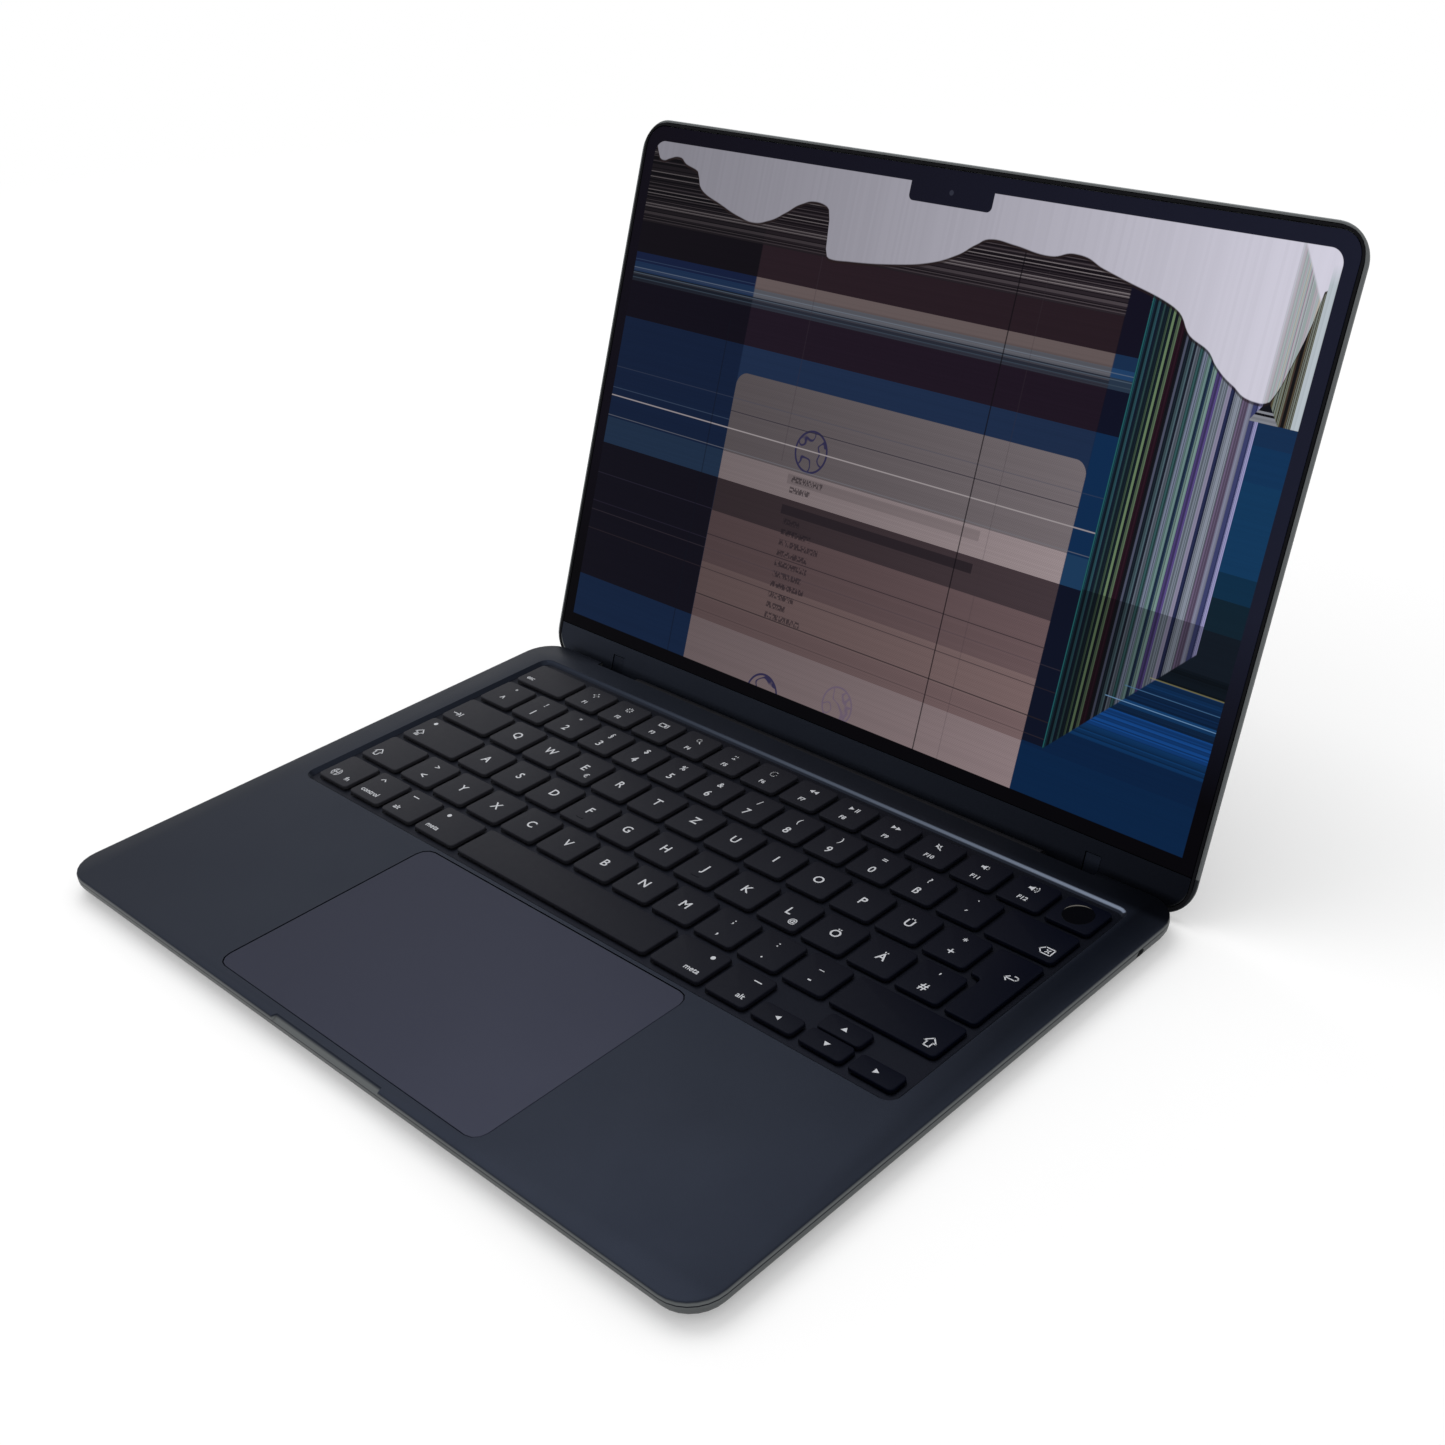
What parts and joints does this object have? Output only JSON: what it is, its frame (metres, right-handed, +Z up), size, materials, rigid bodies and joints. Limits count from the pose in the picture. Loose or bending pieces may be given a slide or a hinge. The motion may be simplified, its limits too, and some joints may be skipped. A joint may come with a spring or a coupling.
{
  "type": "broken laptop computer",
  "caption": "Slim clamshell laptop in dark anodised metal, standing open with a cracked-panel picture; the lid turns on a friction hinge and the function keys travel.",
  "frame": {"origin": "centre of the bounding box of the open laptop, on the plane of the rubber feet", "axes": "+X to the right of the person typing, +Y to the rear, +Z up; the lid is drawn open at 111.1 degrees"},
  "size_m": [0.3042, 0.2962, 0.2023],
  "materials": {
    "dark_aluminium": "fine bead-blasted and anodised, near-black blue, satin",
    "keycap_plastic": "matt black moulded caps with pale legends",
    "trackpad_glass": "fine etched glass, satin, a shade lighter than the deck",
    "screen_glass": "polished glass with a black printed border",
    "display_panel": "liquid crystal panel, damaged, showing a pale blot and coloured stripes",
    "gasket_rubber": "matt black",
    "foot_rubber": "matt dark rubber",
    "black_plastic": "fine matt black",
    "steel": "plain machined steel",
    "circuit_board": "solder mask, matt",
    "battery_pouch": "smooth black laminate",
    "copper_sheet": "thin rolled copper"
  },
  "bodies": {
    "base": {"antenna_cover": "black_plastic", "audio_jack": "black_plastic", "battery_left": "battery_pouch", "battery_right": "battery_pouch", "bottom_cover": "dark_aluminium", "charge_socket": "steel", "data_sockets": "steel", "foot_front_left": "foot_rubber", "foot_front_right": "foot_rubber", "foot_rear_left": "foot_rubber", "foot_rear_right": "foot_rubber", "heat_spreader": "copper_sheet", "hinge_barrel_left": "steel", "hinge_barrel_right": "steel", "keyboard_plate": "keycap_plastic", "logic_board": "circuit_board", "speaker_left": "black_plastic", "speaker_right": "black_plastic", "trackpad_glass": "trackpad_glass", "trackpad_tray": "steel", "upper_case": "dark_aluminium"},
    "lid": {"lid_back": "dark_aluminium", "display_gasket": "gasket_rubber", "cover_glass": "screen_glass", "display_panel": "display_panel", "camera_module": "black_plastic", "display_driver_board": "circuit_board", "hinge_arm_left": "steel", "hinge_arm_right": "steel"},
    "key_alt_left": {"key_alt_left": "keycap_plastic"},
    "key_alt_right": {"key_alt_right": "keycap_plastic"},
    "key_arrow_down": {"key_arrow_down": "keycap_plastic"},
    "key_arrow_left": {"key_arrow_left": "keycap_plastic"},
    "key_arrow_right": {"key_arrow_right": "keycap_plastic"},
    "key_arrow_up": {"key_arrow_up": "keycap_plastic"},
    "key_backspace": {"key_backspace": "keycap_plastic"},
    "key_caps_lock": {"key_caps_lock": "keycap_plastic"},
    "key_control": {"key_control": "keycap_plastic"},
    "key_esc": {"key_esc": "keycap_plastic"},
    "key_f1": {"key_f1": "keycap_plastic"},
    "key_f10": {"key_f10": "keycap_plastic"},
    "key_f11": {"key_f11": "keycap_plastic"},
    "key_f12": {"key_f12": "keycap_plastic"},
    "key_f2": {"key_f2": "keycap_plastic"},
    "key_f3": {"key_f3": "keycap_plastic"},
    "key_f4": {"key_f4": "keycap_plastic"},
    "key_f5": {"key_f5": "keycap_plastic"},
    "key_f6": {"key_f6": "keycap_plastic"},
    "key_f7": {"key_f7": "keycap_plastic"},
    "key_f8": {"key_f8": "keycap_plastic"},
    "key_f9": {"key_f9": "keycap_plastic"},
    "key_fn": {"key_fn": "keycap_plastic"},
    "key_meta_left": {"key_meta_left": "keycap_plastic"},
    "key_meta_right": {"key_meta_right": "keycap_plastic"},
    "key_power": {"key_power": "keycap_plastic"},
    "key_return": {"key_return": "keycap_plastic"},
    "key_shift_left": {"key_shift_left": "keycap_plastic"},
    "key_shift_right": {"key_shift_right": "keycap_plastic"},
    "key_space": {"key_space": "keycap_plastic"},
    "key_tab": {"key_tab": "keycap_plastic"}
  },
  "joints": [
    {"name": "lid_hinge", "type": "hinge", "parent": "base", "child": "lid", "pos_m": [0, 0.06515, 0.0048], "axis": [-1, 0, 0], "range_deg": [-111.1, 12.5]},
    {"name": "press_alt_left", "type": "slide", "parent": "base", "child": "key_alt_left", "axis": [0, 0, -1], "range_m": [0, 0.001], "stiffness_N_per_m": 150, "springref_m": -0.002},
    {"name": "press_alt_right", "type": "slide", "parent": "base", "child": "key_alt_right", "axis": [0, 0, -1], "range_m": [0, 0.001], "stiffness_N_per_m": 150, "springref_m": -0.002},
    {"name": "press_arrow_down", "type": "slide", "parent": "base", "child": "key_arrow_down", "axis": [0, 0, -1], "range_m": [0, 0.001], "stiffness_N_per_m": 150, "springref_m": -0.002},
    {"name": "press_arrow_left", "type": "slide", "parent": "base", "child": "key_arrow_left", "axis": [0, 0, -1], "range_m": [0, 0.001], "stiffness_N_per_m": 150, "springref_m": -0.002},
    {"name": "press_arrow_right", "type": "slide", "parent": "base", "child": "key_arrow_right", "axis": [0, 0, -1], "range_m": [0, 0.001], "stiffness_N_per_m": 150, "springref_m": -0.002},
    {"name": "press_arrow_up", "type": "slide", "parent": "base", "child": "key_arrow_up", "axis": [0, 0, -1], "range_m": [0, 0.001], "stiffness_N_per_m": 150, "springref_m": -0.002},
    {"name": "press_backspace", "type": "slide", "parent": "base", "child": "key_backspace", "axis": [0, 0, -1], "range_m": [0, 0.001], "stiffness_N_per_m": 150, "springref_m": -0.002},
    {"name": "press_caps_lock", "type": "slide", "parent": "base", "child": "key_caps_lock", "axis": [0, 0, -1], "range_m": [0, 0.001], "stiffness_N_per_m": 150, "springref_m": -0.002},
    {"name": "press_control", "type": "slide", "parent": "base", "child": "key_control", "axis": [0, 0, -1], "range_m": [0, 0.001], "stiffness_N_per_m": 150, "springref_m": -0.002},
    {"name": "press_esc", "type": "slide", "parent": "base", "child": "key_esc", "axis": [0, 0, -1], "range_m": [0, 0.001], "stiffness_N_per_m": 150, "springref_m": -0.002},
    {"name": "press_f1", "type": "slide", "parent": "base", "child": "key_f1", "axis": [0, 0, -1], "range_m": [0, 0.001], "stiffness_N_per_m": 150, "springref_m": -0.002},
    {"name": "press_f10", "type": "slide", "parent": "base", "child": "key_f10", "axis": [0, 0, -1], "range_m": [0, 0.001], "stiffness_N_per_m": 150, "springref_m": -0.002},
    {"name": "press_f11", "type": "slide", "parent": "base", "child": "key_f11", "axis": [0, 0, -1], "range_m": [0, 0.001], "stiffness_N_per_m": 150, "springref_m": -0.002},
    {"name": "press_f12", "type": "slide", "parent": "base", "child": "key_f12", "axis": [0, 0, -1], "range_m": [0, 0.001], "stiffness_N_per_m": 150, "springref_m": -0.002},
    {"name": "press_f2", "type": "slide", "parent": "base", "child": "key_f2", "axis": [0, 0, -1], "range_m": [0, 0.001], "stiffness_N_per_m": 150, "springref_m": -0.002},
    {"name": "press_f3", "type": "slide", "parent": "base", "child": "key_f3", "axis": [0, 0, -1], "range_m": [0, 0.001], "stiffness_N_per_m": 150, "springref_m": -0.002},
    {"name": "press_f4", "type": "slide", "parent": "base", "child": "key_f4", "axis": [0, 0, -1], "range_m": [0, 0.001], "stiffness_N_per_m": 150, "springref_m": -0.002},
    {"name": "press_f5", "type": "slide", "parent": "base", "child": "key_f5", "axis": [0, 0, -1], "range_m": [0, 0.001], "stiffness_N_per_m": 150, "springref_m": -0.002},
    {"name": "press_f6", "type": "slide", "parent": "base", "child": "key_f6", "axis": [0, 0, -1], "range_m": [0, 0.001], "stiffness_N_per_m": 150, "springref_m": -0.002},
    {"name": "press_f7", "type": "slide", "parent": "base", "child": "key_f7", "axis": [0, 0, -1], "range_m": [0, 0.001], "stiffness_N_per_m": 150, "springref_m": -0.002},
    {"name": "press_f8", "type": "slide", "parent": "base", "child": "key_f8", "axis": [0, 0, -1], "range_m": [0, 0.001], "stiffness_N_per_m": 150, "springref_m": -0.002},
    {"name": "press_f9", "type": "slide", "parent": "base", "child": "key_f9", "axis": [0, 0, -1], "range_m": [0, 0.001], "stiffness_N_per_m": 150, "springref_m": -0.002},
    {"name": "press_fn", "type": "slide", "parent": "base", "child": "key_fn", "axis": [0, 0, -1], "range_m": [0, 0.001], "stiffness_N_per_m": 150, "springref_m": -0.002},
    {"name": "press_meta_left", "type": "slide", "parent": "base", "child": "key_meta_left", "axis": [0, 0, -1], "range_m": [0, 0.001], "stiffness_N_per_m": 150, "springref_m": -0.002},
    {"name": "press_meta_right", "type": "slide", "parent": "base", "child": "key_meta_right", "axis": [0, 0, -1], "range_m": [0, 0.001], "stiffness_N_per_m": 150, "springref_m": -0.002},
    {"name": "press_power", "type": "slide", "parent": "base", "child": "key_power", "axis": [0, 0, -1], "range_m": [0, 0.001], "stiffness_N_per_m": 150, "springref_m": -0.002},
    {"name": "press_return", "type": "slide", "parent": "base", "child": "key_return", "axis": [0, 0, -1], "range_m": [0, 0.001], "stiffness_N_per_m": 150, "springref_m": -0.002},
    {"name": "press_shift_left", "type": "slide", "parent": "base", "child": "key_shift_left", "axis": [0, 0, -1], "range_m": [0, 0.001], "stiffness_N_per_m": 150, "springref_m": -0.002},
    {"name": "press_shift_right", "type": "slide", "parent": "base", "child": "key_shift_right", "axis": [0, 0, -1], "range_m": [0, 0.001], "stiffness_N_per_m": 150, "springref_m": -0.002},
    {"name": "press_space", "type": "slide", "parent": "base", "child": "key_space", "axis": [0, 0, -1], "range_m": [0, 0.001], "stiffness_N_per_m": 150, "springref_m": -0.002},
    {"name": "press_tab", "type": "slide", "parent": "base", "child": "key_tab", "axis": [0, 0, -1], "range_m": [0, 0.001], "stiffness_N_per_m": 150, "springref_m": -0.002}
  ]
}
